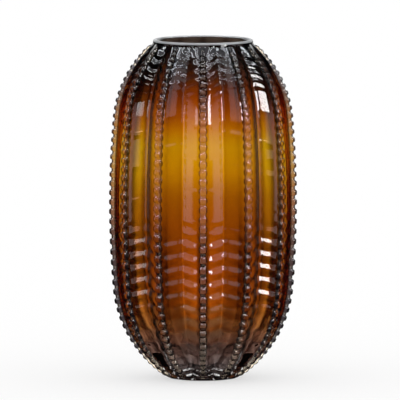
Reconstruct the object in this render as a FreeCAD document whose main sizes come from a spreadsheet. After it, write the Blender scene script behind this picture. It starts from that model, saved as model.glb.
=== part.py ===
"""Hand-blown cased glass vase with twelve notched ribs.

The vase is a barrel on a small ground foot. An amber bubble is cased in clear glass, and the clear glass
is drawn out into twelve ridges. A trail of glass is laid hot along each ridge and pinched into teeth.
Millimetres, +Z up, origin at the centre of the ground foot. One rib faces +X.
"""

import FreeCAD, Part
import math
import os

import Sketcher
from FreeCAD import Vector

AXIS = Vector(0, 0, 1)
ORIGIN = Vector(0, 0, 0)
FULL_TURN = 360.0

doc = FreeCAD.newDocument("notched_vase")
sheet = doc.addObject("Spreadsheet::Sheet", "sizes")

DRIVING_SIZES = (
    # Height of the vase and the shape of its long side
    ("total_height", 340.0),
    ("belly_height", 175.0),
    ("belly_bow", 1000.0),
    ("upper_join", 262.0),
    ("lower_join", 90.0),
    # Radii at the belly, from the teeth inwards
    ("tooth_radius", 94.0),
    ("trail_height", 5.0),
    ("ridge_rise", 8.7),
    ("casing_wall", 4.5),
    ("amber_wall", 2.5),
    # The mouth
    ("lip_radius", 50.0),
    ("lip_wall", 6.5),
    ("lip_band", 4.0),
    ("lip_bevel", 1.4),
    ("lip_seat", 1.0),
    ("band_lap", 1.0),
    ("amber_drop", 6.0),
    ("amber_rim_setback", 0.7),
    ("amber_rim_wall", 2.6),
    ("tooth_lip_rise", 2.5),
    # The foot
    ("foot_radius", 31.5),
    ("foot_ridge_rise", 2.7),
    ("foot_tooth_rise", 4.5),
    ("pontil_radius", 15.0),
    ("pontil_depth", 1.5),
    # The bottom of the inside
    ("clear_base", 18.0),
    ("amber_base", 5.0),
    ("well_radius", 24.0),
    # Ridges, trails, and the flutes that the ribbed mould leaves in both skins of the bubble
    ("rib_count", 12),
    ("valley_width", 2.6),
    ("trail_width", 8.0),
    ("ridge_margin", 0.4),
    ("trail_end_gap", 1.5),
    ("trail_end_slope", 5.0),
    ("outer_flute", 5.0),
    ("outer_flute_end", 0.5),
    ("inner_flute", 0.9),
    ("inner_flute_end", 0.4),
    # Teeth
    ("notch_depth", 2.6),
    ("tooth_land", 2.2),
    ("pitch_at_lip", 5.9),
    ("pitch_at_belly", 9.8),
    ("pitch_at_foot", 5.8),
    ("widest_pitch_height", 120.0),
)


def fill_sheet():
    """Writes each driving size in its own row, with its name as the alias."""
    for row, (name, value) in enumerate(DRIVING_SIZES, start=1):
        sheet.set(f"A{row}", name)
        sheet.set(f"B{row}", str(value))
        sheet.setAlias(f"B{row}", name)
    doc.recompute()


def size(name):
    """The number in the sheet's cell of that name."""
    return float(sheet.get(name))


fill_sheet()

RIB_COUNT = int(round(size("rib_count")))
RIB_PITCH = FULL_TURN / RIB_COUNT
RIDGE_RADIUS = size("tooth_radius") - size("trail_height")
VALLEY_RADIUS = RIDGE_RADIUS - size("ridge_rise")
CASED_RADIUS = VALLEY_RADIUS - size("casing_wall")
INSIDE_RADIUS = CASED_RADIUS - size("amber_wall")
LIP_UNDERSIDE = size("total_height") - size("lip_band")
AMBER_TOP = size("total_height") - size("amber_drop")
AMBER_RIM = size("lip_radius") - size("lip_wall") + size("amber_rim_setback")
INSIDE_FLOOR = size("clear_base") + size("amber_base")


class Meridian:
    """Half the outline of one skin of the vase, in the XZ plane.

    A long arc makes the belly. One arc tangent to it runs down to the foot, another up to the lip.
    """

    def __init__(self, belly_radius, foot, lip):
        bow = size("belly_bow")
        belly = (Vector(belly_radius - bow, 0, size("belly_height")), bow)
        self.foot_height = foot[1]
        self.lip_height = lip[1]
        self.arcs = [
            self.tangent_arc(belly, size("lower_join"), foot),
            belly,
            self.tangent_arc(belly, size("upper_join"), lip),
        ]

    @staticmethod
    def tangent_arc(belly, join_height, end):
        """Centre and radius of the arc that leaves the belly arc at join_height and passes through end."""
        centre, bow = belly
        rise = math.asin((join_height - centre.z) / bow)
        outward = Vector(math.cos(rise), 0, math.sin(rise))
        join = centre + outward * bow
        chord = join - Vector(end[0], 0, end[1])
        radius = chord.dot(chord) / (2 * chord.dot(outward))
        return join - outward * radius, radius

    def arc_at(self, height):
        """The arc that the outline follows at this height."""
        if height < size("lower_join"):
            return self.arcs[0]
        if height > size("upper_join"):
            return self.arcs[2]
        return self.arcs[1]

    def angle_at(self, height):
        """How far the outward normal points up at this height, in radians."""
        centre, radius = self.arc_at(height)
        return math.asin((height - centre.z) / radius)

    def radius_at(self, height):
        """Distance of the outline from the axis at this height."""
        centre, radius = self.arc_at(height)
        return centre.x + math.sqrt(radius**2 - (height - centre.z) ** 2)

    def point_at(self, height, sunk=0.0):
        """The outline's point at this height, or one sunk below the outline there."""
        return Vector(self.radius_at(height), 0, height) - self.normal_at(height) * sunk

    def normal_at(self, height):
        angle = self.angle_at(height)
        return Vector(math.cos(angle), 0, math.sin(angle))

    def heights(self):
        """Where sections across the outline lie, from foot to lip: close together where it curves most."""
        marks = (self.foot_height, size("lower_join"), size("upper_join"), self.lip_height)
        found = [marks[0]]
        for low, high, shares in zip(marks[:-1], marks[1:], SECTION_SHARES):
            found += [low + (high - low) * share for share in shares]
        return found


# Where sections lie on the lower arc, the long side and the upper arc, as shares of each one's rise
SECTION_SHARES = (
    (0.07, 0.17, 0.32, 0.52, 0.76, 1),
    (0.25, 0.5, 0.75, 1),
    (0.26, 0.5, 0.7, 0.86, 1),
)

valley = Meridian(
    VALLEY_RADIUS,
    foot=(size("foot_radius"), 0.0),
    lip=(size("lip_radius") - size("lip_seat"), LIP_UNDERSIDE),
)
ridge = Meridian(
    RIDGE_RADIUS,
    foot=(size("foot_radius") + size("foot_ridge_rise"), 0.0),
    lip=(size("lip_radius"), LIP_UNDERSIDE),
)
teeth = Meridian(
    size("tooth_radius"),
    foot=(size("foot_radius") + size("foot_tooth_rise"), 0.0),
    lip=(size("lip_radius") + size("tooth_lip_rise"), LIP_UNDERSIDE),
)


def skin_outlines(belly_radius, foot, lip, flute, flute_end):
    """A skin of the bubble between the ridges, and on the flutes under them, which die out at both ends."""
    between = Meridian(belly_radius, foot, lip)
    ends = [(radius + flute_end, height) for radius, height in (foot, lip)]
    return between, Meridian(belly_radius + flute, *ends)


cased_skin = skin_outlines(
    CASED_RADIUS,
    foot=(size("well_radius") + size("amber_base"), size("clear_base")),
    lip=(AMBER_RIM + size("amber_rim_wall"), AMBER_TOP),
    flute=size("outer_flute"),
    flute_end=size("outer_flute_end"),
)
inside_skin = skin_outlines(
    INSIDE_RADIUS,
    foot=(size("well_radius"), INSIDE_FLOOR),
    lip=(AMBER_RIM, AMBER_TOP),
    flute=size("inner_flute"),
    flute_end=size("inner_flute_end"),
)


def star_ring(height):
    """Corners of the casing at one height: a flat along each ridge, a narrow flat along each valley."""
    half_ridge = size("trail_width") / 2 + size("ridge_margin")
    half_valley = size("valley_width") / 2
    points = []
    for rib in range(RIB_COUNT):
        for turn, radius, half in (
            (rib, ridge.radius_at(height), half_ridge),
            (rib + 0.5, valley.radius_at(height), half_valley),
        ):
            direction = math.radians(turn * RIB_PITCH)
            out = Vector(math.cos(direction), math.sin(direction), 0)
            along = Vector(-out.y, out.x, 0)
            for side in (-half, half):
                points.append(out * radius + along * side + AXIS * height)
    return points


def fluted_ring(skin, height):
    """Corners of a skin of the bubble at one height: one on the flute under each ridge, one between ridges."""
    between, fluted = skin
    points = []
    for rib in range(RIB_COUNT):
        for turn, outline in ((rib, fluted), (rib + 0.5, between)):
            direction = math.radians(turn * RIB_PITCH)
            out = Vector(math.cos(direction), math.sin(direction), 0)
            points.append(out * outline.radius_at(height) + AXIS * height)
    return points


def flat_face(*corners):
    return Part.Face(Part.makePolygon([*corners, corners[0]]))


def facets_between(low, high):
    """Two triangles from each side of one ring to the same side of the next, mirrored about each ridge."""
    faces = []
    for a, b, c, d in zip(low, [*low[1:], low[0]], [*high[1:], high[0]], high):
        if math.hypot(a.x, a.y) > math.hypot(b.x, b.y):
            faces += [flat_face(a, b, c), flat_face(a, c, d)]
        else:
            faces += [flat_face(a, b, d), flat_face(b, c, d)]
    return faces


def skinned(name, rings):
    """A solid with flat facets from each ring of corners to the next, far lighter than a curved loft."""
    faces = [flat_face(*rings[0]), flat_face(*rings[-1])]
    for low, high in zip(rings[:-1], rings[1:]):
        faces += facets_between(low, high)
    shell = Part.makeShell(faces)
    shell.sewShape()
    made = doc.addObject("Part::Feature", name)
    made.Shape = Part.makeSolid(shell).removeSplitter()
    return made


def fluted_solid(name, skin):
    """All that lies within a skin of the bubble."""
    between, _ = skin
    return skinned(name, [fluted_ring(skin, z) for z in between.heights()])


def origin_feature(body, role):
    """The plane or axis of the body's own origin with that role."""
    return next(f for f in body.Origin.OriginFeatures if f.Role == role)


# A sketch's names for the two ends of a line, and for its own origin
START, END = 1, 2
SKETCH_ORIGIN = (-1, START)


def turned_body(name, corners):
    """A solid turned about Z. Each corner of its outline is two sheet expressions, radius and height."""
    body = doc.addObject("PartDesign::Body", name)
    sketch = body.newObject("Sketcher::SketchObject", f"{name}_outline")
    sketch.AttachmentSupport = (origin_feature(body, "XZ_Plane"), [""])
    sketch.MapMode = "FlatFace"
    places = [[float(sheet.evalExpression(e)) for e in corner] for corner in corners]
    points = [Vector(radius, height, 0) for radius, height in places]
    lines = [
        sketch.addGeometry(Part.LineSegment(a, b))
        for a, b in zip(points, [*points[1:], points[0]])
    ]
    for before, after in zip(lines, [*lines[1:], lines[0]]):
        join = Sketcher.Constraint("Coincident", before, END, after, START)
        sketch.addConstraint(join)
    for line, corner, place in zip(lines, corners, places):
        for kind, expression, value in zip(("DistanceX", "DistanceY"), corner, place):
            distance = Sketcher.Constraint(kind, *SKETCH_ORIGIN, line, START, value)
            index = sketch.addConstraint(distance)
            sketch.setExpression(f"Constraints[{index}]", expression)
    doc.recompute()
    turned = body.newObject("PartDesign::Revolution", f"{name}_turned")
    turned.Profile = sketch
    turned.ReferenceAxis = (sketch, ["V_Axis"])
    turned.Angle = FULL_TURN
    doc.recompute()
    return body


def lip_body():
    """The solid band at the mouth, with its outer edge bevelled and polished."""
    low = "sizes.total_height - sizes.lip_band - sizes.band_lap"
    top = "sizes.total_height"
    return turned_body(
        "lip_band",
        (
            ("0", low),
            ("sizes.lip_radius", low),
            ("sizes.lip_radius", f"{top} - sizes.lip_bevel"),
            ("sizes.lip_radius - sizes.lip_bevel", top),
            ("0", top),
        ),
    )


def mouth_body():
    """The space of the mouth, from the amber's rim up past the lip, flared at the inner bevel."""
    low = "sizes.total_height - sizes.amber_drop"
    top = "sizes.total_height"
    bore = "sizes.lip_radius - sizes.lip_wall"
    flared = f"{bore} + sizes.lip_bevel"
    return turned_body(
        "mouth",
        (
            ("0", low),
            (bore, low),
            (bore, f"{top} - sizes.lip_bevel"),
            (flared, top),
            (flared, f"{top} + sizes.lip_band"),
            ("0", f"{top} + sizes.lip_band"),
        ),
    )


def boolean(kind, name, base, tool):
    """One solid cut from another or fused with it. kind is Part::Cut or Part::Fuse."""
    made = doc.addObject(kind, name)
    made.Base = base
    made.Tool = tool
    doc.recompute()
    return made


def pontil_ball():
    """The ball that grinds out the mark under the foot where the pontil rod broke away."""
    ball = doc.addObject("Part::Sphere", "pontil_ball")
    radius = "(sizes.pontil_radius ^ 2 + sizes.pontil_depth ^ 2) / (2 * sizes.pontil_depth)"
    ball.setExpression("Radius", radius)
    ball.setExpression("Placement.Base.z", f"sizes.pontil_depth - {radius}")
    return ball


def clear_casing(gathered, bubble):
    """The clear glass: hollow where the bubble lies, open at the mouth, with the pontil mark ground out."""
    hollow = boolean("Part::Cut", "casing_round_bubble", gathered, bubble)
    opened = boolean("Part::Cut", "casing_with_mouth", hollow, mouth_body())
    return boolean("Part::Cut", "casing_ground", opened, pontil_ball())


def pitch_at(height):
    """Spacing of the teeth along the rib. The glass is stretched most low on the belly."""
    widest = size("widest_pitch_height")
    if height < widest:
        share = height / widest
        end = size("pitch_at_foot")
    else:
        share = (size("total_height") - height) / (size("total_height") - widest)
        end = size("pitch_at_lip")
    return end + (size("pitch_at_belly") - end) * share


def notch_heights(low, high):
    """Heights of the notches, one tooth apart along the rib, with a whole tooth left at each end."""
    found = []
    height = low
    while True:
        step = pitch_at(height) * math.cos(teeth.angle_at(height))
        height += step
        if height + step > high:
            return found
        found.append(height)


def notch_corners(height):
    """The notch's two edges and, between them, its bottom. It is shallower where the trail is lower."""
    spot = teeth.point_at(height)
    outward = teeth.normal_at(height)
    along = Vector(-outward.z, 0, outward.x)
    trail_here = (teeth.radius_at(height) - ridge.radius_at(height)) * outward.x
    depth = size("notch_depth") * min(1.0, trail_here / size("trail_height"))
    half_mouth = (pitch_at(height) - size("tooth_land")) / 2
    return spot - along * half_mouth, spot - outward * depth, spot + along * half_mouth


def toothed_strip():
    """The trail that faces +X, before it is seated: toothed outside, sunk into the ridge inside."""
    low = size("trail_end_gap")
    high = LIP_UNDERSIDE - size("trail_end_gap")
    slope = size("trail_end_slope")
    sunk = size("trail_height") / 2
    seat_heights = [low, *[z for z in ridge.heights() if low < z < high], high]
    points = [ridge.point_at(z, sunk) for z in seat_heights]
    points.append(teeth.point_at(high - slope))
    notches = notch_heights(low + slope, high - slope)
    for height in reversed(notches):
        points += reversed(notch_corners(height))
    points.append(teeth.point_at(low + slope))
    print(f"teeth on each rib: {len(notches) + 1}")
    face = Part.Face(Part.makePolygon([*points, points[0]]))
    face.translate(Vector(0, -size("trail_width") / 2, 0))
    strip = doc.addObject("Part::Feature", "toothed_strip")
    strip.Shape = face.extrude(Vector(0, size("trail_width"), 0))
    return strip


def check_document():
    """Stops if any object failed to build."""
    bad = [o.Name for o in doc.Objects if {"Invalid", "Error"} & set(o.State)]
    if bad:
        raise RuntimeError(f"these objects failed: {bad}")


def save(parts):
    """Writes each piece to its own STEP file, named by its label."""
    os.makedirs("parts", exist_ok=True)
    for part in parts:
        shape = part.Shape
        if shape.isNull() or not shape.isValid() or not shape.Solids:
            raise RuntimeError(f"{part.Label} is not a valid solid")
        print(f"{part.Label}: {len(shape.Solids)} solid, {shape.Volume:.0f} mm3")
        shape.exportStep(f"parts/{part.Label}.step")


barrel = skinned("ridged_barrel", [star_ring(z) for z in ridge.heights()])
gathered_glass = boolean("Part::Fuse", "gathered_glass", barrel, lip_body())
bubble = fluted_solid("bubble", cased_skin)
cavity = fluted_solid("cavity", inside_skin)

casing = clear_casing(gathered_glass, bubble)
casing.Label = "clear_casing"
amber = boolean("Part::Cut", "hollow_bubble", bubble, cavity)
amber.Label = "amber_bubble"
seated_trail = boolean("Part::Cut", "seated_trail", toothed_strip(), gathered_glass)

trails = []
for number in range(RIB_COUNT):
    trail = doc.addObject("Part::Feature", f"trail_{number + 1:02d}")
    trail.Shape = seated_trail.Shape.copy()
    trail.Placement = FreeCAD.Placement(ORIGIN, FreeCAD.Rotation(AXIS, number * RIB_PITCH))
    trail.Label = f"notched_trail_{number + 1:02d}"
    trails.append(trail)

doc.recompute()
check_document()
save([casing, amber, *trails])
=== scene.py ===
# %% [markdown]
# # Hand-blown cased glass vase
#
# A vase like this is built up in layers. A bubble of amber glass is dipped in clear glass, the clear glass
# is drawn out into twelve ridges in a ribbed mould, and a thread of hot glass is laid along each ridge and
# pinched into teeth. It could be drawn as one lump with a picture of glass on it, but then light would not
# bend through it. So each layer is a piece of its own here, and they are welded skin to skin as the real
# ones are.

import math

import bpy
import numpy as np
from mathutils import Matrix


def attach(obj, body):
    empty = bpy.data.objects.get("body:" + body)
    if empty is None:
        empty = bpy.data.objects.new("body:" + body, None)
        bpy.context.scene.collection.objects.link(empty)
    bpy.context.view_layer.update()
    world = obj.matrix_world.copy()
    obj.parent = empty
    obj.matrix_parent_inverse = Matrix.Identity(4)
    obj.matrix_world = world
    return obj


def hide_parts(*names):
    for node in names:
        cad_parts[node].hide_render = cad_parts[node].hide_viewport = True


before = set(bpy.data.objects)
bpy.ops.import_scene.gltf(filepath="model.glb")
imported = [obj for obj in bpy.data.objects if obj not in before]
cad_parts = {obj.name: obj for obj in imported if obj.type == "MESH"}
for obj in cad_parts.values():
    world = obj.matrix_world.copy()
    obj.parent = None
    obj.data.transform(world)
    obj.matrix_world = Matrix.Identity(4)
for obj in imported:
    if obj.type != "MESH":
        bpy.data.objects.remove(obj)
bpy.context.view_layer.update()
MM = 0.001

# %% [markdown]
# ## Camera
#
# The photograph was taken from far off with a long lens, a little above the vase, so its two sides look
# parallel and its mouth is a thin ellipse. A near camera with a short lens would fan the ridges out. At 12
# m the lens is as long as it takes for 400 mm at the vase to fill the picture.

# %% Camera
PICTURE_WIDTH = 400 * MM
CAMERA_DISTANCE = 12.0
CAMERA_RISE = math.radians(5.4)
SENSOR = 36.0
AIM = (-3 * MM, 0.0, 178.6 * MM)

bpy.ops.object.select_all(action="DESELECT")
bpy.ops.object.camera_add()
camera = bpy.context.object
camera.name = "camera"
camera.data.sensor_width = SENSOR
camera.data.lens = SENSOR * CAMERA_DISTANCE / PICTURE_WIDTH
camera.data.clip_end = 100.0
back, up = CAMERA_DISTANCE * math.cos(CAMERA_RISE), CAMERA_DISTANCE * math.sin(CAMERA_RISE)
camera.location = (AIM[0], AIM[1] - back, AIM[2] + up)
camera.rotation_euler = (math.pi / 2 - CAMERA_RISE, 0, 0)
bpy.context.scene.camera = camera
print(f"lens {camera.data.lens:.0f} mm at {CAMERA_DISTANCE} m")

# %% [markdown]
# ## Colours and nodes
#
# Colours are easiest to read as the hex codes that a colour picker gives, but a shader adds and multiplies
# light, so it wants them linear. One function turns them. A few more add a node with its settings and its
# links, so that each material below reads as a short list.


# %% Colours
def linear(code):
    """An sRGB hex code as the linear colour that a shader takes."""
    parts = [int(code[i : i + 2], 16) / 255 for i in (1, 3, 5)]
    return tuple(c / 12.92 if c <= 0.04045 else ((c + 0.055) / 1.055) ** 2.4 for c in parts) + (1.0,)


WHITE = linear("#ffffff")


# %% Nodes
def add_node(tree, kind, links=(), **settings):
    """Adds a node. Settings are its own values or, by name, its inputs. links are (input, socket) pairs."""
    node = tree.nodes.new("ShaderNode" + kind)
    for name, value in settings.items():
        socket = name.replace("_", " ")
        if hasattr(node, name):
            setattr(node, name, value)
        elif socket in node.inputs:
            node.inputs[socket].default_value = value
        else:
            raise ValueError(f"{kind} has no {name}")
    for name, source in links:
        tree.links.new(source, node.inputs[name])
    return node


def maths(tree, operation, *values):
    """One sum on numbers or sockets."""
    node = add_node(tree, "Math", operation=operation)
    for place, value in enumerate(values):
        if isinstance(value, bpy.types.NodeSocket):
            tree.links.new(value, node.inputs[place])
        else:
            node.inputs[place].default_value = value
    return node.outputs[0]


def smooth(tree, value, low, high):
    """0 at low and 1 at high, with soft ends. low may be the larger."""
    node = add_node(tree, "MapRange", links=(("Value", value),), interpolation_type="SMOOTHSTEP")
    node.inputs["From Min"].default_value = low
    node.inputs["From Max"].default_value = high
    return node.outputs[0]


def blend(tree, share, low, high):
    """One shader where share is 0 and another where it is 1."""
    return add_node(tree, "MixShader", links=((0, share), (1, low), (2, high))).outputs[0]


# %% [markdown]
# ## Studio
#
# Glass has hardly a colour of its own: it shows what stands round it. A glass photographer puts a white
# sheet behind the piece, which lights it through, and keeps the rest dark, which draws black lines along
# its edges. Softboxes at the sides put white streaks on it. Lamps could do that, but here the sheets are
# patches of the sky between two directions. A ray that went through the glass sees one set, a reflected ray
# the other, and the camera sees plain white, so the background stays white without more light. The set
# behind the glass is much the same from four sides, so the vase can be turned. The reflected set is not:
# its right softbox is the stronger, as in the photograph.

# %% Sheets round the vase
DARK_ROOM = linear("#1a1c20")
# name, azimuth from the camera's side, half width, lowest, highest, colour, strength, softness of the edge;
# all but the colour and strength are in degrees
BEHIND_GLASS = (
    ("back panel", 180, 35, -95, 42, "#ffffff", 1.15, 6),
    ("front panel", 0, 30, -95, 42, "#ffffff", 1.1, 6),
    ("right panel", 90, 26, -95, 40, "#ffffff", 1.0, 6),
    ("left panel", -90, 26, -95, 40, "#ffffff", 1.0, 6),
)
IN_REFLECTION = (
    ("back panel", 180, 30, -40, 30, "#ffffff", 1.0, 6),
    ("right softbox", 45, 12, 7, 25, "#ffffff", 20.0, 1.0),
    ("left reflector", -46, 11, 7, 17, "#ffffff", 4.0, 1.0),
    ("right sheet", 68, 27, -9, 14, "#fff0f2", 1.1, 5),
    ("left sheet", -68, 27, -9, 14, "#fff0f2", 1.1, 5),
    ("front sheet", 0, 22, 6, 42, "#fff0f2", 1.2, 2),
    ("right top strip", 90, 48, 68, 74, "#f4f8ff", 6.0, 0.8),
    ("left top strip", -90, 48, 68, 74, "#f4f8ff", 6.0, 0.8),
    ("low ring", 0, 190, 48, 51, "#f4f8ff", 12.0, 0.8),
    ("high ring", 0, 190, 62, 65, "#f4f8ff", 12.0, 0.8),
    ("overhead", 0, 190, 46, 100, "#eef2ff", 0.9, 6),
)
print(len(BEHIND_GLASS), "sheets behind the glass,", len(IN_REFLECTION), "in its reflections")


# %% Light of a sheet
def sheet_light(tree, azimuth, rise, row):
    """The light of one soft-edged patch of sky."""
    centre, half, low, high, colour, strength, edge = row[1:]
    turned = maths(tree, "WRAP", maths(tree, "SUBTRACT", azimuth, float(centre)), 180.0, -180.0)
    aside = smooth(tree, maths(tree, "ABSOLUTE", turned), half + edge, half - edge)
    off = maths(tree, "ABSOLUTE", maths(tree, "SUBTRACT", rise, (low + high) / 2))
    above = smooth(tree, off, (high - low) / 2 + edge, (high - low) / 2 - edge)
    glow = add_node(tree, "VectorMath", operation="SCALE")
    glow.inputs[0].default_value = linear(colour)[:3]
    brightness = maths(tree, "MULTIPLY", maths(tree, "MULTIPLY", aside, above), strength)
    tree.links.new(brightness, glow.inputs["Scale"])
    return glow.outputs[0]


def all_sheets(tree, azimuth, rise, rows):
    """The dark room and its sheets, added up."""
    total = add_node(tree, "RGB")
    total.outputs[0].default_value = DARK_ROOM
    total = total.outputs[0]
    for row in rows:
        light = sheet_light(tree, azimuth, rise, row)
        total = add_node(tree, "VectorMath", operation="ADD", links=((0, total), (1, light))).outputs[0]
    return total


# %% World
def studio_world():
    world = bpy.data.worlds.new("studio")
    world.use_nodes = True
    tree = world.node_tree
    tree.nodes.clear()
    direction = add_node(tree, "TexCoord").outputs["Generated"]
    axes = add_node(tree, "SeparateXYZ", links=(("Vector", direction),)).outputs
    toward_camera = maths(tree, "MULTIPLY", axes["Y"], -1.0)
    azimuth = maths(tree, "DEGREES", maths(tree, "ARCTAN2", axes["X"], toward_camera))
    rise = maths(tree, "DEGREES", maths(tree, "ARCSINE", axes["Z"]))
    ray = add_node(tree, "LightPath").outputs
    shader = add_node(tree, "Background", Color=WHITE, Strength=1.0).outputs[0]
    # a ray that went through glass counts as glossy too, so the transmission set comes second
    for kind, rows in (("Is Glossy Ray", IN_REFLECTION), ("Is Transmission Ray", BEHIND_GLASS)):
        sheets = all_sheets(tree, azimuth, rise, rows)
        lit = add_node(tree, "Background", Strength=1.0, links=(("Color", sheets),))
        shader = blend(tree, ray[kind], shader, lit.outputs[0])
    white = add_node(tree, "Background", Color=WHITE, Strength=1.0)
    shader = blend(tree, ray["Is Camera Ray"], shader, white.outputs[0])
    add_node(tree, "OutputWorld", links=(("Surface", shader),))
    return world


bpy.context.scene.world = studio_world()
print("world:", len(bpy.context.scene.world.node_tree.nodes), "nodes")

# %% [markdown]
# ## Floor
#
# The vase stands on white acrylic. Its paint takes the shadow, and part of its white glows, so that it
# meets the white background without a line. The camera looks down at it, so most rays that go through the
# vase end on the floor and not on the sky: what the glass sees there is white in front, behind and to the
# sides, and dim between, as with the sheets. Reflections see it dim, except far off at both sides. It lies
# a third of a millimetre under the vase, which keeps the two skins apart.

# %% Floor
FLOOR_SIZE = 30.0
FLOOR_DROP = 0.3 * MM

bpy.ops.object.select_all(action="DESELECT")
bpy.ops.mesh.primitive_plane_add(size=FLOOR_SIZE, location=(0, 0, -FLOOR_DROP))
floor = bpy.context.object
floor.name = "floor"
print("floor", FLOOR_SIZE, "m square")


# %% Floor seen through the glass
# smaller over larger distance from the two axes: dim at the first, white at the second
SQUARE_ON = (0.85, 0.6)
# metres from the vase
CLOSE_TO_FOOT = (0.2, 0.08)
FAR_OFF = (0.8, 1.4)
# degrees round from the camera, and how far to either side of that the glow fades
SIDE_GLOW = 75.0
SIDE_EDGE = (17.0, 7.0)
SIDE_STRENGTH = 1.3
LEAST_STRENGTH = 0.02


def floor_through_glass(tree, across, deep, white):
    """White in four directions, dim between them, and brightest close to the foot."""
    wide, narrow = maths(tree, "MAXIMUM", across, deep), maths(tree, "MINIMUM", across, deep)
    square_on = smooth(tree, maths(tree, "DIVIDE", narrow, wide), *SQUARE_ON)
    dim = add_node(tree, "Emission", Color=linear("#2c2e32"), Strength=1.0)
    close = add_node(tree, "Emission", Color=WHITE, Strength=1.5)
    shader = blend(tree, square_on, dim.outputs[0], white)
    return blend(tree, smooth(tree, wide, *CLOSE_TO_FOOT), shader, close.outputs[0])


def floor_in_reflection(tree, across, deep, forward):
    """Pale far off at both sides, and dim elsewhere."""
    azimuth = maths(tree, "DEGREES", maths(tree, "ARCTAN2", across, forward))
    aside = smooth(tree, maths(tree, "ABSOLUTE", maths(tree, "SUBTRACT", azimuth, SIDE_GLOW)), *SIDE_EDGE)
    far = smooth(tree, maths(tree, "MAXIMUM", across, deep), *FAR_OFF)
    sides = maths(tree, "MULTIPLY", maths(tree, "MULTIPLY", aside, far), SIDE_STRENGTH)
    strength = maths(tree, "ADD", sides, LEAST_STRENGTH)
    return add_node(tree, "Emission", Color=linear("#fff0f2"), links=(("Strength", strength),)).outputs[0]


# %% Floor material
GLOW_SHARE = 0.6


def white_acrylic():
    """Matt white acrylic sheet: no grain, no gloss, the softest shadow."""
    made = bpy.data.materials.new("white_acrylic_floor")
    made.use_nodes = True
    tree = made.node_tree
    tree.nodes.clear()
    ray = add_node(tree, "LightPath").outputs
    place = add_node(tree, "TexCoord").outputs["Object"]
    axes = add_node(tree, "SeparateXYZ", links=(("Vector", place),)).outputs
    across, deep = (maths(tree, "ABSOLUTE", axes[name]) for name in "XY")
    paint = add_node(tree, "BsdfDiffuse", Color=WHITE)
    glow = add_node(tree, "Emission", Color=WHITE, Strength=1.0)
    white = add_node(tree, "MixShader", links=((1, paint.outputs[0]), (2, glow.outputs[0])))
    white.inputs[0].default_value = GLOW_SHARE
    white = white.outputs[0]
    forward = maths(tree, "MULTIPLY", axes["Y"], -1.0)
    reflected = floor_in_reflection(tree, across, deep, forward)
    shader = blend(tree, ray["Is Glossy Ray"], paint.outputs[0], reflected)
    shader = blend(tree, ray["Is Transmission Ray"], shader, floor_through_glass(tree, across, deep, white))
    shader = blend(tree, ray["Is Camera Ray"], shader, white)
    add_node(tree, "OutputMaterial", links=(("Surface", shader),))
    return made


floor.data.materials.append(white_acrylic())
print("floor material:", floor.data.materials[0].name)

# %% [markdown]
# ## Outlines
#
# Turned shapes are drawn as half an outline. Each skin of this vase has the same kind: one long arc for the
# belly, and an arc that runs on from it down to the foot and another up to the lip. A curve through many
# points would do, but three tangent arcs stay fair whatever their ends, and they are the same arcs as the
# CAD model's, so every skin fits.

# %% Sizes of the vase
HEIGHT = 340.0
BELLY_HEIGHT = 175.0
BELLY_BOW = 1000.0
UPPER_JOIN = 262.0
LOWER_JOIN = 90.0
LIP_UNDERSIDE = 336.0
AMBER_TOP = 334.0
BASE_TOP = 18.0
RIBS = 12
HALF_RIB = math.pi / RIBS


# %% Outline
class Outline:
    """Half the outline of one skin: a long belly arc, and a tangent arc to the foot and to the lip."""

    def __init__(self, belly, foot, lip):
        middle = (belly - BELLY_BOW, BELLY_HEIGHT, BELLY_BOW)
        self.foot, self.lip = foot, lip
        self.arcs = (self.tangent(middle, LOWER_JOIN, foot), middle, self.tangent(middle, UPPER_JOIN, lip))

    @staticmethod
    def tangent(arc, join, end):
        """The arc that leaves another at the height join and passes through end."""
        rise = math.asin((join - arc[1]) / arc[2])
        out = (math.cos(rise), math.sin(rise))
        start = (arc[0] + out[0] * arc[2], arc[1] + out[1] * arc[2])
        chord = (start[0] - end[0], start[1] - end[1])
        radius = (chord[0] ** 2 + chord[1] ** 2) / (2 * (chord[0] * out[0] + chord[1] * out[1]))
        return start[0] - out[0] * radius, start[1] - out[1] * radius, radius

    def pick(self, z, found):
        return np.where(z < LOWER_JOIN, found[0], np.where(z > UPPER_JOIN, found[2], found[1]))

    def radius(self, z):
        """Distance from the axis at each height, which stops at the outline's two ends."""
        z = np.clip(np.asarray(z, dtype=float), self.foot[1], self.lip[1])
        return self.pick(z, [x + np.sqrt(np.maximum(r * r - (z - c) ** 2, 0.0)) for x, c, r in self.arcs])

    def lean(self, z):
        """How far the skin faces up at each height, in radians."""
        z = np.clip(np.asarray(z, dtype=float), self.foot[1], self.lip[1])
        return self.pick(z, [np.arcsin(np.clip((z - c) / r, -1, 1)) for x, c, r in self.arcs])

    def heights(self, step):
        """Heights a step apart along the outline, foot to lip."""
        z = np.linspace(self.foot[1], self.lip[1], 4000)
        run = np.concatenate(([0.0], np.cumsum(np.hypot(np.diff(z), np.diff(self.radius(z))))))
        return np.interp(np.linspace(0, run[-1], int(round(run[-1] / step)) + 1), run, z)


# %% The five skins
VALLEY = Outline(80.3, (31.5, 0.0), (49.0, LIP_UNDERSIDE))
RIDGE = Outline(89.0, (34.2, 0.0), (50.0, LIP_UNDERSIDE))
TEETH = Outline(94.0, (36.0, 0.0), (52.5, LIP_UNDERSIDE))
CASED = Outline(75.8, (29.0, BASE_TOP), (46.8, AMBER_TOP))
INSIDE = Outline(73.3, (24.0, 23.0), (44.2, AMBER_TOP))
SKINS = (VALLEY, RIDGE, TEETH, CASED, INSIDE)
print("belly radii:", [round(float(skin.radius(BELLY_HEIGHT)), 1) for skin in SKINS])

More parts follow.
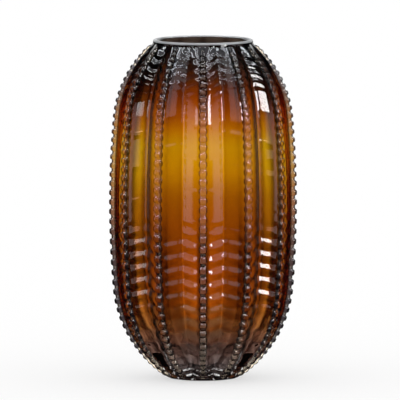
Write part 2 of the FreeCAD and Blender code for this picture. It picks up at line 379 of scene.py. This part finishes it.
# %% [markdown]
# ## Spinning a drawn line
#
# A blown piece is turned all the while on the end of its pipe, so it is round, and Blender's Spin makes it
# the same way. A single vertex is extruded along the outline, the line is spun about the axis, and the
# doubled points where it meets itself are merged. Screw or a lathe curve would give the same. The ridges
# and ripples are then pushed out of this round blank by moving its points along their radius.


# %% Spin
def spun(name, points, turns):
    """Draws a line through points of (radius, height) in mm and spins it about the axis."""
    bpy.ops.object.select_all(action="DESELECT")
    bpy.ops.mesh.primitive_plane_add(size=1 * MM)
    piece = bpy.context.object
    piece.name = piece.data.name = name
    bpy.ops.object.mode_set(mode="EDIT")
    bpy.ops.mesh.select_all(action="SELECT")
    bpy.ops.mesh.merge(type="CENTER")
    bpy.ops.transform.translate(value=(points[0][0] * MM, 0, points[0][1] * MM))
    for before, after in zip(points[:-1], points[1:]):
        step = ((after[0] - before[0]) * MM, 0, (after[1] - before[1]) * MM)
        bpy.ops.mesh.extrude_region_move(TRANSFORM_OT_translate={"value": step})
    bpy.ops.mesh.select_all(action="SELECT")
    bpy.ops.mesh.spin(steps=turns, angle=2 * math.pi, center=(0, 0, 0), axis=(0, 0, 1))
    bpy.ops.mesh.select_all(action="SELECT")
    bpy.ops.mesh.remove_doubles(threshold=0.004 * MM)
    bpy.ops.mesh.dissolve_degenerate(threshold=0.001 * MM)
    bpy.ops.mesh.normals_make_consistent(inside=False)
    bpy.ops.object.mode_set(mode="OBJECT")
    bpy.ops.object.shade_smooth()
    return piece


# %% Points and faces of a piece
def read(items, name):
    """One value of three numbers from each vertex or face, as an array."""
    flat = np.empty(len(items) * 3, dtype=np.float32)
    items.foreach_get(name, flat)
    return flat.reshape(-1, 3).astype(float)


def move_corners(piece, places):
    """Puts the piece's vertices at places in mm."""
    piece.data.vertices.foreach_set("co", (places * MM).astype(np.float32).ravel())
    piece.data.update()


def from_axis(places):
    """Radius, azimuth and height of points."""
    return np.hypot(places[:, 0], places[:, 1]), np.arctan2(places[:, 1], places[:, 0]), places[:, 2]


def set_radius(piece, azimuth, radius, height):
    move_corners(piece, np.stack((np.cos(azimuth) * radius, np.sin(azimuth) * radius, height), axis=1))


def mark_faces(piece, kinds):
    """Gives each face its material slot: 0 open to the air, 1 welded to the next layer, 2 the lip."""
    for place in range(kinds.max() + 1):
        piece.data.materials.append(None)
    piece.data.polygons.foreach_set("material_index", kinds.astype(np.int32))


def ramp_up(value, low, high):
    """0 below low, 1 above high, and a straight rise between. low may be the larger."""
    return np.clip((value - low) / (high - low), 0, 1)


# %% [markdown]
# ## Seam between the clear glass and the amber
#
# The ribbed mould presses both layers at once, so the amber swells out under every ridge and the seam
# follows the ridges more softly. Near the foot and the mouth it fades, because the gaffer necks the piece
# down there after the mould. Both pieces take this one skin from the same function, so they touch all over
# with no gap and no overlap.

# %% Seam
FLUTE = 0.006
SEAM_FLUTE = 0.033
FOOT_FADE = 50.0
MOUTH_FADE = 60.0


def fluted(radius, azimuth, depth=FLUTE):
    """A round skin with a soft flute under each ridge."""
    return radius * (1 + depth * (1 + np.cos(RIBS * azimuth)))


def seam_radius(radius, azimuth, height):
    """The amber's outer skin, which follows the ridges, less so near the foot and the mouth."""
    off_foot = ramp_up(height, BASE_TOP, BASE_TOP + FOOT_FADE)
    off_mouth = ramp_up(height, AMBER_TOP, AMBER_TOP - MOUTH_FADE)
    return fluted(radius, azimuth, FLUTE + (SEAM_FLUTE - FLUTE) * (off_foot * off_mouth))


swell = 2 * SEAM_FLUTE * float(CASED.radius(BELLY_HEIGHT))
print("the seam swells by", round(swell, 1), "mm under a ridge")

# %% [markdown]
# ## Casing
#
# This is the thick clear gather that gives the vase its weight. Its line runs from the pontil dimple under
# the foot, out over the ground ring, up the valley between two ridges, over the fire-polished lip and down
# the seam. A step of 1.25 mm is fine enough for the smallest ripple that shows.

# %% Line of the casing
STEP = 1.25
TURNS = 264
SEAM_STEP = 8.0
UNDER_FOOT = [(0.0, 1.5), (9.0, 1.0), (14.0, 0.3), (16.0, 0.0), (24.0, 0.0), (30.3, 0.0)]
ON_BASE = [(20.0, BASE_TOP), (10.0, BASE_TOP), (0.0, BASE_TOP)]
BASE_EDGE = 25.0
LIP_INSIDE, LIP_OUTSIDE = 46.1, 50.0
LIP_ARC_FROM = 338.0
LIP_POINTS = 12
SEAM_AT_RIM = (46.2, 336.5)
NEAR_SKIN = 0.6


def rounded_lip(inner, outer, top, count):
    """Points over a rounded rim, from its outer side to its inner side."""
    middle, half = (inner + outer) / 2, (outer - inner) / 2
    turn = np.linspace(0, math.pi, count + 2)
    return [(middle + half * math.cos(t), top + half * math.sin(t)) for t in turn]


def casing_line():
    line = list(UNDER_FOOT)
    line += [(float(VALLEY.radius(z)), float(z)) for z in VALLEY.heights(STEP) if z > 0.5]
    line += rounded_lip(LIP_INSIDE, LIP_OUTSIDE, LIP_ARC_FROM, LIP_POINTS) + [SEAM_AT_RIM]
    line += [(float(CASED.radius(z)), float(z)) for z in CASED.heights(SEAM_STEP)[::-1]]
    return line + ON_BASE


casing = spun("ridged_clear_casing", casing_line(), TURNS)
radius, azimuth, height = from_axis(read(casing.data.vertices, "co") / MM)
outside = (np.abs(radius - VALLEY.radius(height)) < NEAR_SKIN) & (height < LIP_UNDERSIDE + 0.5)
seam = (~outside) & (height > BASE_TOP - 0.1) & (height < AMBER_TOP + 0.2) & (radius > BASE_EDGE)
print("casing:", len(height), "vertices")
print(int(outside.sum()), "on the outside,", int(seam.sum()), "on the seam")

# %% [markdown]
# ## Ridges
#
# Each ridge has a narrow flat land along its crest, which carries the trail, and two nearly flat flanks
# that meet the next ridge's in a sharp valley. A bevelled star would give knife edges, and a plain wave
# would be too soft. A power a little over one lets the flank swell near the crest, as glass does when it is
# drawn out hot.

# %% Ridges
LAND = 4.2
VALLEY_FLOOR = 0.9
FLANK_SWELL = 1.25

off_crest = np.abs((azimuth + HALF_RIB) % (2 * HALF_RIB) - HALF_RIB)
along_flank = off_crest * RIDGE.radius(height)
flank_end = HALF_RIB * RIDGE.radius(height) - VALLEY_FLOOR
crest = 1 - np.clip((along_flank - LAND) / (flank_end - LAND), 0, 1) ** FLANK_SWELL
ridge_depth = float(RIDGE.radius(BELLY_HEIGHT) - VALLEY.radius(BELLY_HEIGHT))
print("ridge over valley at the belly:", round(ridge_depth, 1), "mm")

# %% [markdown]
# ## Ripples
#
# The mould chills the skin as it grips, so the lower half is left with ripples 13 mm apart that climb from
# each ridge to the valley and meet in chevrons. Above them the skin is smooth but for a few thin lines. The
# shoulder is crumpled into lumps where the piece was necked in, and the foot keeps the marks of the block.
# A bump map would shade them but not bend the light, so they are real relief.

# %% Chevron ripples on the lower half
RIPPLE = 0.95
RIPPLE_PITCH = 13.3
RIPPLE_CLIMB = 5.0
RIPPLES_FROM = (12, 42)
RIPPLES_TO = 150
RIPPLES_FADE = 9

flank_number = np.floor((azimuth + HALF_RIB) / (2 * HALF_RIB))
uneven = 0.35 * np.sin(3.1 * flank_number + height / 41) + 0.25 * np.sin(1.7 * flank_number + height / 17)
phase = 2 * math.pi * (height - RIPPLE_CLIMB * off_crest / HALF_RIB) / RIPPLE_PITCH + uneven
off_foot = ramp_up(height, *RIPPLES_FROM)
lower_half = 1 / (1 + np.exp((height - RIPPLES_TO) / RIPPLES_FADE))
chevrons = RIPPLE * (0.85 * np.sin(phase) + 0.12 * np.sin(2 * phase + 0.6)) * off_foot * lower_half
print("chevron ripples: depth", RIPPLE, "mm, pitch", RIPPLE_PITCH, "mm")

# %% Fine lines, shoulder lumps and foot marks
# each pair is a fade, from the height where there is none to the height where it is full
SHOULDER_FROM, SHOULDER_TO = (285, 305), (334, 326)
BLOCK_MARKS_FROM, BLOCK_MARKS_TO = (0, 3), (22, 14)
FINE_LINE = 0.24
LUMP_PITCH = 8.5
BLOCK_MARK_PITCH = 6.0
BLOCK_MARK_CLIMB = 1.7
BLOCK_MARK = 1.7

shoulder = ramp_up(height, *SHOULDER_FROM) * ramp_up(height, *SHOULDER_TO)
fine_lines = FINE_LINE * np.exp(6 * (np.cos(0.41 * phase + 2 * flank_number) - 1)) * off_foot
fine_lines *= (1 - lower_half) * (1 - shoulder)
crumple = 0.9 * np.sin(18 * azimuth + flank_number) + 2 * flank_number
lumps = (np.abs(np.sin(math.pi * height / LUMP_PITCH + crumple)) - 0.6) * shoulder
block_climb = BLOCK_MARK_CLIMB * off_crest / HALF_RIB
block_waves = np.abs(np.sin(math.pi * height / BLOCK_MARK_PITCH - block_climb))
block_marks = (block_waves - 0.6) * BLOCK_MARK
block_marks *= ramp_up(height, *BLOCK_MARKS_FROM) * ramp_up(height, *BLOCK_MARKS_TO)
beside_trail = ramp_up(along_flank, 0.8 * LAND, 0.8 * LAND + 4)
relief = (chevrons + fine_lines + lumps) * beside_trail + block_marks
shown = relief[outside]
print("relief from", round(float(shown.min()), 2), "to", round(float(shown.max()), 2), "mm")

# %% Push out the ridges
valley_here = VALLEY.radius(height)
ridged = valley_here + (RIDGE.radius(height) - valley_here) * crest + relief
shaped = np.where(outside, ridged, np.where(seam, seam_radius(radius, azimuth, height), radius))
set_radius(casing, azimuth, shaped, height)
print("casing radius up to", round(float(shaped.max()), 2), "mm")

# %% [markdown]
# ## Skins of the casing
#
# A face where glass meets air bends light, and one where glass is welded to glass hardly does. So the faces
# on the seam are told apart here and get a material that doesn't bend the light. The rim gets a third one.

# %% Mark the casing's faces
RIM_SEAM_RADIUS = 46.6
WELD_TOP = 338.2
LIP_FROM = 337.4

middle_radius, middle_azimuth, middle_height = from_axis(read(casing.data.polygons, "center") / MM)
on_seam = np.clip(middle_height, BASE_TOP, AMBER_TOP)
seam_there = seam_radius(CASED.radius(middle_height), middle_azimuth, on_seam)
seam_there = np.where(middle_height > AMBER_TOP, RIM_SEAM_RADIUS, seam_there)
welded = (middle_height > BASE_TOP - 0.5) & (middle_height < WELD_TOP)
welded &= middle_radius < seam_there + NEAR_SKIN
lip = (~welded) & (middle_height > LIP_FROM)
mark_faces(casing, welded + 2 * lip)
print("casing faces:", int(welded.sum()), "welded,", int(lip.sum()), "on the lip")

# %% [markdown]
# ## Bubble
#
# The amber bubble is the first gather, blown before the clear glass goes over it. It is spun like the
# casing, from the middle of its base, up the seam, over its rim just inside the lip and back down the inner
# wall. The inner wall has only shallow flutes, because the breath inside keeps it round.

# %% Bubble
BUBBLE_STEP = 4.0
RIM_OUTER_SIDE = [SEAM_AT_RIM, (46.1, 337.9), (45.7, 338.7)]
RIM_INNER_SIDE = [(44.8, 339.0), (43.9, 338.7), (43.5, 337.9), (43.6, 336.5)]
INSIDE_BASE = [(18.0, 22.7), (9.0, 22.5), (0.0, 22.5)]
WALL_FROM = 23.5


def bubble_line():
    line = ON_BASE[::-1]
    line += [(float(CASED.radius(z)), float(z)) for z in CASED.heights(BUBBLE_STEP)]
    line += RIM_OUTER_SIDE + RIM_INNER_SIDE
    line += [(float(INSIDE.radius(z)), float(z)) for z in INSIDE.heights(BUBBLE_STEP)[::-1]]
    return line + INSIDE_BASE


bubble = spun("blown_amber_bubble", bubble_line(), TURNS)
radius, azimuth, height = from_axis(read(bubble.data.vertices, "co") / MM)
wall = radius > WALL_FROM
outer_wall = wall & (radius > (CASED.radius(height) + INSIDE.radius(height)) / 2)
shaped = np.where(wall, fluted(radius, azimuth), radius)
shaped = np.where(outer_wall, seam_radius(radius, azimuth, height), shaped)
set_radius(bubble, azimuth, shaped, height)
print("bubble:", len(height), "vertices")

# %% Mark the bubble's faces
middle_radius, middle_azimuth, middle_height = from_axis(read(bubble.data.polygons, "center") / MM)
half_way = (CASED.radius(middle_height) + INSIDE.radius(middle_height)) / 2
welded = ((middle_radius > half_way) & (middle_height < WELD_TOP)) | (middle_height < BASE_TOP + 2)
mark_faces(bubble, welded.astype(int))
print("bubble faces:", int(welded.sum()), "welded of", len(welded))

# %% [markdown]
# ## Pinched trails
#
# A thread of hot glass is trailed along each ridge and nipped with pinching tongs, tooth by tooth, so each
# tooth is a little pillow with a waist between it and the next. The teeth are wider apart on the belly than
# at the ends. Forty-four cubes with bevels would look strung. One grid is wrapped into a tube instead,
# whose height and width follow the teeth, and it sinks a little into the ridge. It is made once, on the
# ridge towards +X, and copied to the others.

# %% Teeth along the trail
TEETH_COUNT = 44
PER_TOOTH = 14
ROUND_TRAIL = 20
TRAIL_LOW, TRAIL_HIGH = 1.5, 334.5
FOOT_PITCH, BELLY_PITCH, LIP_PITCH = 5.8, 9.8, 5.9
WIDEST_AT = 120.0


def tooth_pitch(z):
    """Spacing of the teeth along the rib in mm: widest low on the belly, and closer at both ends."""
    low = FOOT_PITCH + (BELLY_PITCH - FOOT_PITCH) * z / WIDEST_AT
    high = LIP_PITCH + (BELLY_PITCH - LIP_PITCH) * (HEIGHT - z) / (HEIGHT - WIDEST_AT)
    return np.where(z < WIDEST_AT, low, high)


def tooth_heights(tooth):
    """The height at each tooth number, which may lie between two teeth."""
    z = np.linspace(TRAIL_LOW, TRAIL_HIGH, 6000)
    step = np.hypot(np.diff(z), np.diff(TEETH.radius(z))) / tooth_pitch((z[1:] + z[:-1]) / 2)
    count = np.concatenate(([0.0], np.cumsum(step)))
    return np.interp(tooth, count * TEETH_COUNT / count[-1], z)


print("tooth heights:", [round(float(tooth_heights(n + 0.5)), 1) for n in (0, 10, 20, 30, 43)])

# %% Section of the trail
HALF_WIDTH = 3.7
BULGE = 0.6
NOTCH = 1.9
SUNK = 0.4
SQUARENESS = 0.6
# in pitches from a tooth's middle: where its flat top ends, and where the notch is deepest
TOOTH_SIDE = (0.17, 0.37)
END_TAPER = 0.8


def trail_section(around, share, height, tooth):
    """Sideways and outwards from the ridge, in mm, for each point of the tube."""
    full = (TEETH.radius(height) - RIDGE.radius(height)) * np.cos(TEETH.lean(height))
    from_tooth = np.abs(tooth % 1.0 - 0.5)
    notch = ramp_up(from_tooth, *TOOTH_SIDE)
    notch = notch * notch * (3 - 2 * notch)
    end = ramp_up(np.minimum(share, 1 - share) * TEETH_COUNT, 0, END_TAPER) ** 0.5
    rise = (full - NOTCH * np.minimum(1, full / 5.0) * notch) * end
    half = (HALF_WIDTH + BULGE * (1 - 2 * notch)) * np.clip(full / 4.0, 0.62, 1) * end
    sine, cosine = np.sin(around), np.cos(around)
    sideways = half * np.sign(cosine) * np.abs(cosine) ** SQUARENESS
    top = (rise + SUNK) * np.abs(sine) ** SQUARENESS - SUNK
    outwards = np.where(sine > 0, top, -SUNK - 0.35 * np.abs(sine))
    return sideways, np.where(end > 0, outwards, -SUNK)


# %% First trail
def pinched_trail(name):
    """One trail along the ridge towards +X, with a UV map of its width and its tooth numbers."""
    bpy.ops.object.select_all(action="DESELECT")
    along = TEETH_COUNT * PER_TOOTH
    bpy.ops.mesh.primitive_grid_add(x_subdivisions=ROUND_TRAIL, y_subdivisions=along, size=1.0)
    piece = bpy.context.object
    piece.name = piece.data.name = name
    grid = read(piece.data.vertices, "co")
    around, share = (grid[:, 0] + 0.5) * 2 * math.pi, grid[:, 1] + 0.5
    tooth = share * TEETH_COUNT
    height = tooth_heights(tooth)
    sideways, outwards = trail_section(around, share, height, tooth)
    lean = RIDGE.lean(height)
    out, up = RIDGE.radius(height) + outwards * np.cos(lean), height + outwards * np.sin(lean)
    move_corners(piece, np.stack((out, sideways, up), axis=1))
    loops = np.empty(len(piece.data.loops), dtype=np.int32)
    piece.data.loops.foreach_get("vertex_index", loops)
    strip = piece.data.uv_layers.active or piece.data.uv_layers.new(name="strip")
    strip.name = "strip"
    along_strip = np.stack((sideways / HALF_WIDTH, tooth), axis=1)[loops]
    strip.data.foreach_set("uv", along_strip.astype(np.float32).ravel())
    return piece


trails = [pinched_trail("pinched_trail_01")]
print("first trail:", len(trails[0].data.vertices), "vertices")

# %% Close the trail
bpy.ops.object.mode_set(mode="EDIT")
bpy.ops.mesh.select_all(action="SELECT")
bpy.ops.mesh.remove_doubles(threshold=0.002 * MM)
bpy.ops.mesh.normals_make_consistent(inside=False)
bpy.ops.object.mode_set(mode="OBJECT")
bpy.ops.object.shade_smooth()
facing = read(trails[0].data.polygons, "normal")
lean = RIDGE.lean(read(trails[0].data.polygons, "center")[:, 2] / MM)
seat = facing[:, 0] * np.cos(lean) + facing[:, 2] * np.sin(lean) < -0.3
mark_faces(trails[0], seat.astype(int))
print("trail faces:", int(seat.sum()), "welded to the ridge of", len(seat))

# %% Copy it to the other ridges
for number in range(1, RIBS):
    trail = trails[0].copy()
    trail.data = trails[0].data.copy()
    trail.name = trail.data.name = f"pinched_trail_{number + 1:02d}"
    bpy.context.collection.objects.link(trail)
    radius, azimuth, height = from_axis(read(trail.data.vertices, "co") / MM)
    set_radius(trail, azimuth + 2 * HALF_RIB * number, radius, height)
    trails.append(trail)
print("trails:", len(trails))

# %% [markdown]
# ## Glass
#
# Both glasses are soda-lime, blown and fire-polished, so their skins are as smooth as a liquid's, with an
# IOR of 1.5. Colour inside glass is often given as a volume. Here two layers share a skin, and Cycles loses
# count of which volume it is in there, so each skin is tinted instead with the part of the colour that its
# layer takes.


# %% A glass
def glass(name, colour, rough=0.0, ior=1.5):
    """A glass of one colour, with its Principled shader's own sockets set."""
    made = bpy.data.materials.new(name)
    made.use_nodes = True
    tree = made.node_tree
    tree.nodes.clear()
    looks = {"Base_Color": colour, "Roughness": rough, "IOR": ior, "Transmission_Weight": 1.0}
    shader = add_node(tree, "BsdfPrincipled", **looks)
    add_node(tree, "OutputMaterial", links=(("Surface", shader.outputs[0]),))
    return made


def shader_of(made):
    return next(n for n in made.node_tree.nodes if n.type == "BSDF_PRINCIPLED")


def share_of_height(tree):
    """0 at the foot and 1 at the lip."""
    place = add_node(tree, "TexCoord").outputs["Object"]
    height = add_node(tree, "SeparateXYZ", links=(("Vector", place),)).outputs["Z"]
    return maths(tree, "DIVIDE", height, HEIGHT * MM)


def colour_by_height(made, stops, power=1.0):
    """Colours the glass up its height. A power under 1 leaves part of the colour to another skin."""
    tree = made.node_tree
    node = add_node(tree, "ValToRGB", links=((0, share_of_height(tree)),))
    elements = node.color_ramp.elements
    while len(elements) < len(stops):
        elements.new(0.5)
    # a ramp sorts its stops as they move, so all are placed before any is coloured
    for element, (place, _) in zip(elements, stops):
        element.position = place
    for element, (_, colour) in zip(elements, stops):
        element.color = tuple(c**power for c in linear(colour)[:3]) + (1.0,)
    tree.links.new(node.outputs["Color"], shader_of(made).inputs["Base Color"])


# %% Darken a part of a glass
def darken(made, share, dark):
    """Multiplies the glass's colour by dark where share is 1."""
    tree, base = made.node_tree, shader_of(made).inputs["Base Color"]
    # the Mix node's two colours are its inputs 6 and 7, and the mixed colour is its output 2
    mix = add_node(tree, "Mix", data_type="RGBA", blend_type="MULTIPLY", links=((0, share),))
    if base.is_linked:
        tree.links.new(base.links[0].from_socket, mix.inputs[6])
    else:
        mix.inputs[6].default_value = base.default_value
    mix.inputs[7].default_value = dark
    tree.links.new(mix.outputs[2], base)


def painted_edge_shade(made, start, end, dark):
    """Darkens the glass where it is seen at a slant: painted shade for the dark edges of thick glass."""
    facing = add_node(made.node_tree, "LayerWeight", Blend=0.5).outputs["Facing"]
    darken(made, smooth(made.node_tree, facing, start, end), dark)


# %% [markdown]
# ## Clear glass
#
# Clear soda-lime glass, fire-polished: colourless, with sharp highlights, and black edges that come partly
# from the dark room and partly from painted shade. The lip was melted smooth in the glory hole after
# cutting, and its worn, very slightly frosted rim catches the light as a pale grey ring.

# %% Clear glass
clear_glass = glass("blown_clear_glass", linear("#fafafa"))
# painted shade at the edges of the clear glass, where it is seen at a slant
painted_edge_shade(clear_glass, 0.44, 0.63, linear("#201e20"))
clear_seam = glass("clear_glass_seam", WHITE, ior=1.0)
lip_glass = glass("fire_polished_lip", linear("#c6cacc"), rough=0.3)
shader_of(lip_glass).inputs["Transmission Weight"].default_value = 0.45
print("clear glass:", clear_glass.name, clear_seam.name, lip_glass.name)

# %% [markdown]
# ## Amber glass
#
# Amber glass is coloured by iron and sulphur, and its depth follows its thickness: gold where the belly is
# blown thin and brown lower down. Towards the mouth it is darkened nearly to black and at the foot to slate
# grey, which is painted shade. The stops go from foot to lip. The seam takes three quarters of the colour
# and the inner wall the rest, and the slightly uneven inner wall blurs what lies behind it.

# %% Amber colours
# the slate grey stops at the foot and the near-black stops at the mouth are painted shade
AMBER = (
    (0.05, "#545058"),
    (0.12, "#785246"),
    (0.17, "#b06428"),
    (0.23, "#d06810"),
    (0.29, "#c65c06"),
    (0.405, "#bc5a02"),
    (0.48, "#c66802"),
    (0.55, "#d07c02"),
    (0.62, "#ffb404"),
    (0.70, "#ffc006"),
    (0.75, "#ec8c02"),
    (0.79, "#c45c02"),
    (0.84, "#963e06"),
    (0.868, "#6c2c0c"),
    (0.89, "#46241a"),
    (0.93, "#1e120e"),
    (0.98, "#0c0604"),
)
SEAM_SHARE = 0.75
AMBER_ROUGH = 0.28

amber_glass = glass("blown_amber_glass", WHITE, AMBER_ROUGH)
colour_by_height(amber_glass, AMBER, 1 - SEAM_SHARE)
shader_of(amber_glass).inputs["Specular Tint"].default_value = linear("#5a2812")
amber_seam = glass("amber_glass_seam", WHITE, ior=1.0)
colour_by_height(amber_seam, AMBER, SEAM_SHARE)
print("amber:", len(AMBER), "stops")

# %% [markdown]
# ## Amber under the ridges, and painted shade along them
#
# The amber is thickest under each ridge and thinnest along each valley. A darker stripe of painted shade
# follows every ridge, faint in the middle of the vase and strong above and below, and along each valley a
# fine line about 1 mm wide is left brighter than the rest: a painted highlight. Both are painted on the
# seam
# by the angle about the axis: 30 degrees from one ridge to the next.


# %% Painted shade and highlight on the seam
def stronger_at_ends(tree, least, more, low, high):
    """least in the middle of the vase, and up to more on top of it over two ranges of its height."""
    height = share_of_height(tree)
    ends = maths(tree, "MAXIMUM", smooth(tree, height, *low), smooth(tree, height, *high))
    return maths(tree, "ADD", least, maths(tree, "MULTIPLY", ends, more))


def painted_ridge_shade_and_valley_highlight(made):
    tree = made.node_tree
    place = add_node(tree, "TexCoord").outputs["Object"]
    axes = add_node(tree, "SeparateXYZ", links=(("Vector", place),)).outputs
    turn = maths(tree, "MULTIPLY", maths(tree, "ARCTAN2", axes["Y"], axes["X"]), RIBS / (2 * math.pi))
    off = maths(tree, "ABSOLUTE", maths(tree, "WRAP", turn, 0.5, -0.5))
    strong = stronger_at_ends(tree, 0.12, 0.78, (0.56, 0.36), (0.74, 0.86))
    # painted shade in a stripe along each ridge
    darken(made, maths(tree, "MULTIPLY", smooth(tree, off, 0.15, 0.09), strong), linear("#5a3c30"))
    # all but a thin line along each valley is darkened a little, which leaves a painted highlight there
    darken(made, smooth(tree, off, 0.49, 0.475), linear("#dcd0c0"))


painted_ridge_shade_and_valley_highlight(amber_seam)
print("amber seam:", len(amber_seam.node_tree.nodes), "nodes")

# %% [markdown]
# ## Trail glass
#
# The trails are clear glass too, but the amber shines through them: their pinched tops stay clear, and
# their sides take its colour, gold at the belly, with painted shade making them smoky at the ends. Each
# notch, nipped down into the trail, gets a dark mark of painted shade that is wide above and narrow below.
# Both follow the trail's UV map, which runs across its width and counts its teeth.

# %% Trail sides
# the dark slate stops towards both ends are painted shade
TRAIL_SIDE = (
    (0.10, "#403a3c"),
    (0.30, "#403638"),
    (0.42, "#5c443c"),
    (0.52, "#946444"),
    (0.66, "#b48a44"),
    (0.76, "#a07040"),
    (0.85, "#665048"),
    (0.92, "#605c60"),
)


def clear_top(made):
    """Leaves the pinched top clear and only the two sides coloured."""
    tree, base = made.node_tree, shader_of(made).inputs["Base Color"]
    strip = add_node(tree, "UVMap", uv_map="strip").outputs[0]
    across = add_node(tree, "SeparateXYZ", links=(("Vector", strip),)).outputs["X"]
    top = smooth(tree, maths(tree, "ABSOLUTE", across), 0.86, 0.66)
    mix = add_node(tree, "Mix", data_type="RGBA", links=((0, top), (6, base.links[0].from_socket)))
    mix.inputs[7].default_value = linear("#fff0d8")
    tree.links.new(mix.outputs[2], base)


trail_glass = glass("pinched_trail_glass", WHITE)
colour_by_height(trail_glass, TRAIL_SIDE)
clear_top(trail_glass)
# painted shade at the edges of the trails, where they are seen at a slant
painted_edge_shade(trail_glass, 0.36, 0.66, linear("#1c1a1c"))
print("trail glass:", len(trail_glass.node_tree.nodes), "nodes")


# %% Painted shade in the notches
def painted_notch_shade(made):
    """Painted shade for each notch: a dark mark 0.3 of a pitch to either side of it and narrower at its
    foot.
    """
    tree = made.node_tree
    strip = add_node(tree, "UVMap", uv_map="strip").outputs[0]
    axes = add_node(tree, "SeparateXYZ", links=(("Vector", strip),)).outputs
    climb = maths(tree, "SUBTRACT", maths(tree, "FRACT", maths(tree, "ADD", axes["Y"], 0.5)), 0.5)
    inside = smooth(tree, maths(tree, "ABSOLUTE", climb), 0.30, 0.24)
    half = maths(tree, "ADD", 0.55, maths(tree, "MULTIPLY", climb, 0.9))
    body = smooth(tree, maths(tree, "SUBTRACT", maths(tree, "ABSOLUTE", axes["X"]), half), 0.12, 0.0)
    strong = stronger_at_ends(tree, 0.14, 0.86, (0.50, 0.40), (0.76, 0.86))
    mark = maths(tree, "MULTIPLY", maths(tree, "MULTIPLY", inside, body), strong)
    # the colour of the painted shade in the notches
    darken(made, mark, linear("#1c100c"))


trail_seam = glass("trail_glass_seam", WHITE, ior=1.0)
painted_notch_shade(trail_seam)
print("trail seam:", len(trail_seam.node_tree.nodes), "nodes")

# %% [markdown]
# ## Putting it together
#
# Each piece takes its glasses in the order of its face marks, rides on the one body, and stands for its CAD
# solid.


# %% Materials, body and slots
def finish_piece(piece, materials, node):
    kinds = np.empty(len(piece.data.polygons), dtype=np.int32)
    piece.data.polygons.foreach_get("material_index", kinds)
    piece.data.materials.clear()
    for material in materials:
        piece.data.materials.append(material)
    piece.data.polygons.foreach_set("material_index", kinds)
    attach(piece, "root")
    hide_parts(node)


finish_piece(casing, (clear_glass, clear_seam, lip_glass), "clear_casing")
finish_piece(bubble, (amber_glass, amber_seam), "amber_bubble")
for number, trail in enumerate(trails, start=1):
    finish_piece(trail, (trail_glass, trail_seam), f"notched_trail_{number:02d}")
print("pieces:", 2 + len(trails))

# %% [markdown]
# ## Render settings
#
# A ray crosses up to a dozen skins on its way through both walls, so the light paths are longer than usual.
# The Standard view shows a colour as it is written.

# %% Light paths and view
cycles = bpy.context.scene.cycles
cycles.max_bounces = 24
cycles.transmission_bounces = 24
cycles.glossy_bounces = 12
cycles.transparent_max_bounces = 40
bpy.context.scene.view_settings.view_transform = "Standard"
print("bounces:", cycles.max_bounces)
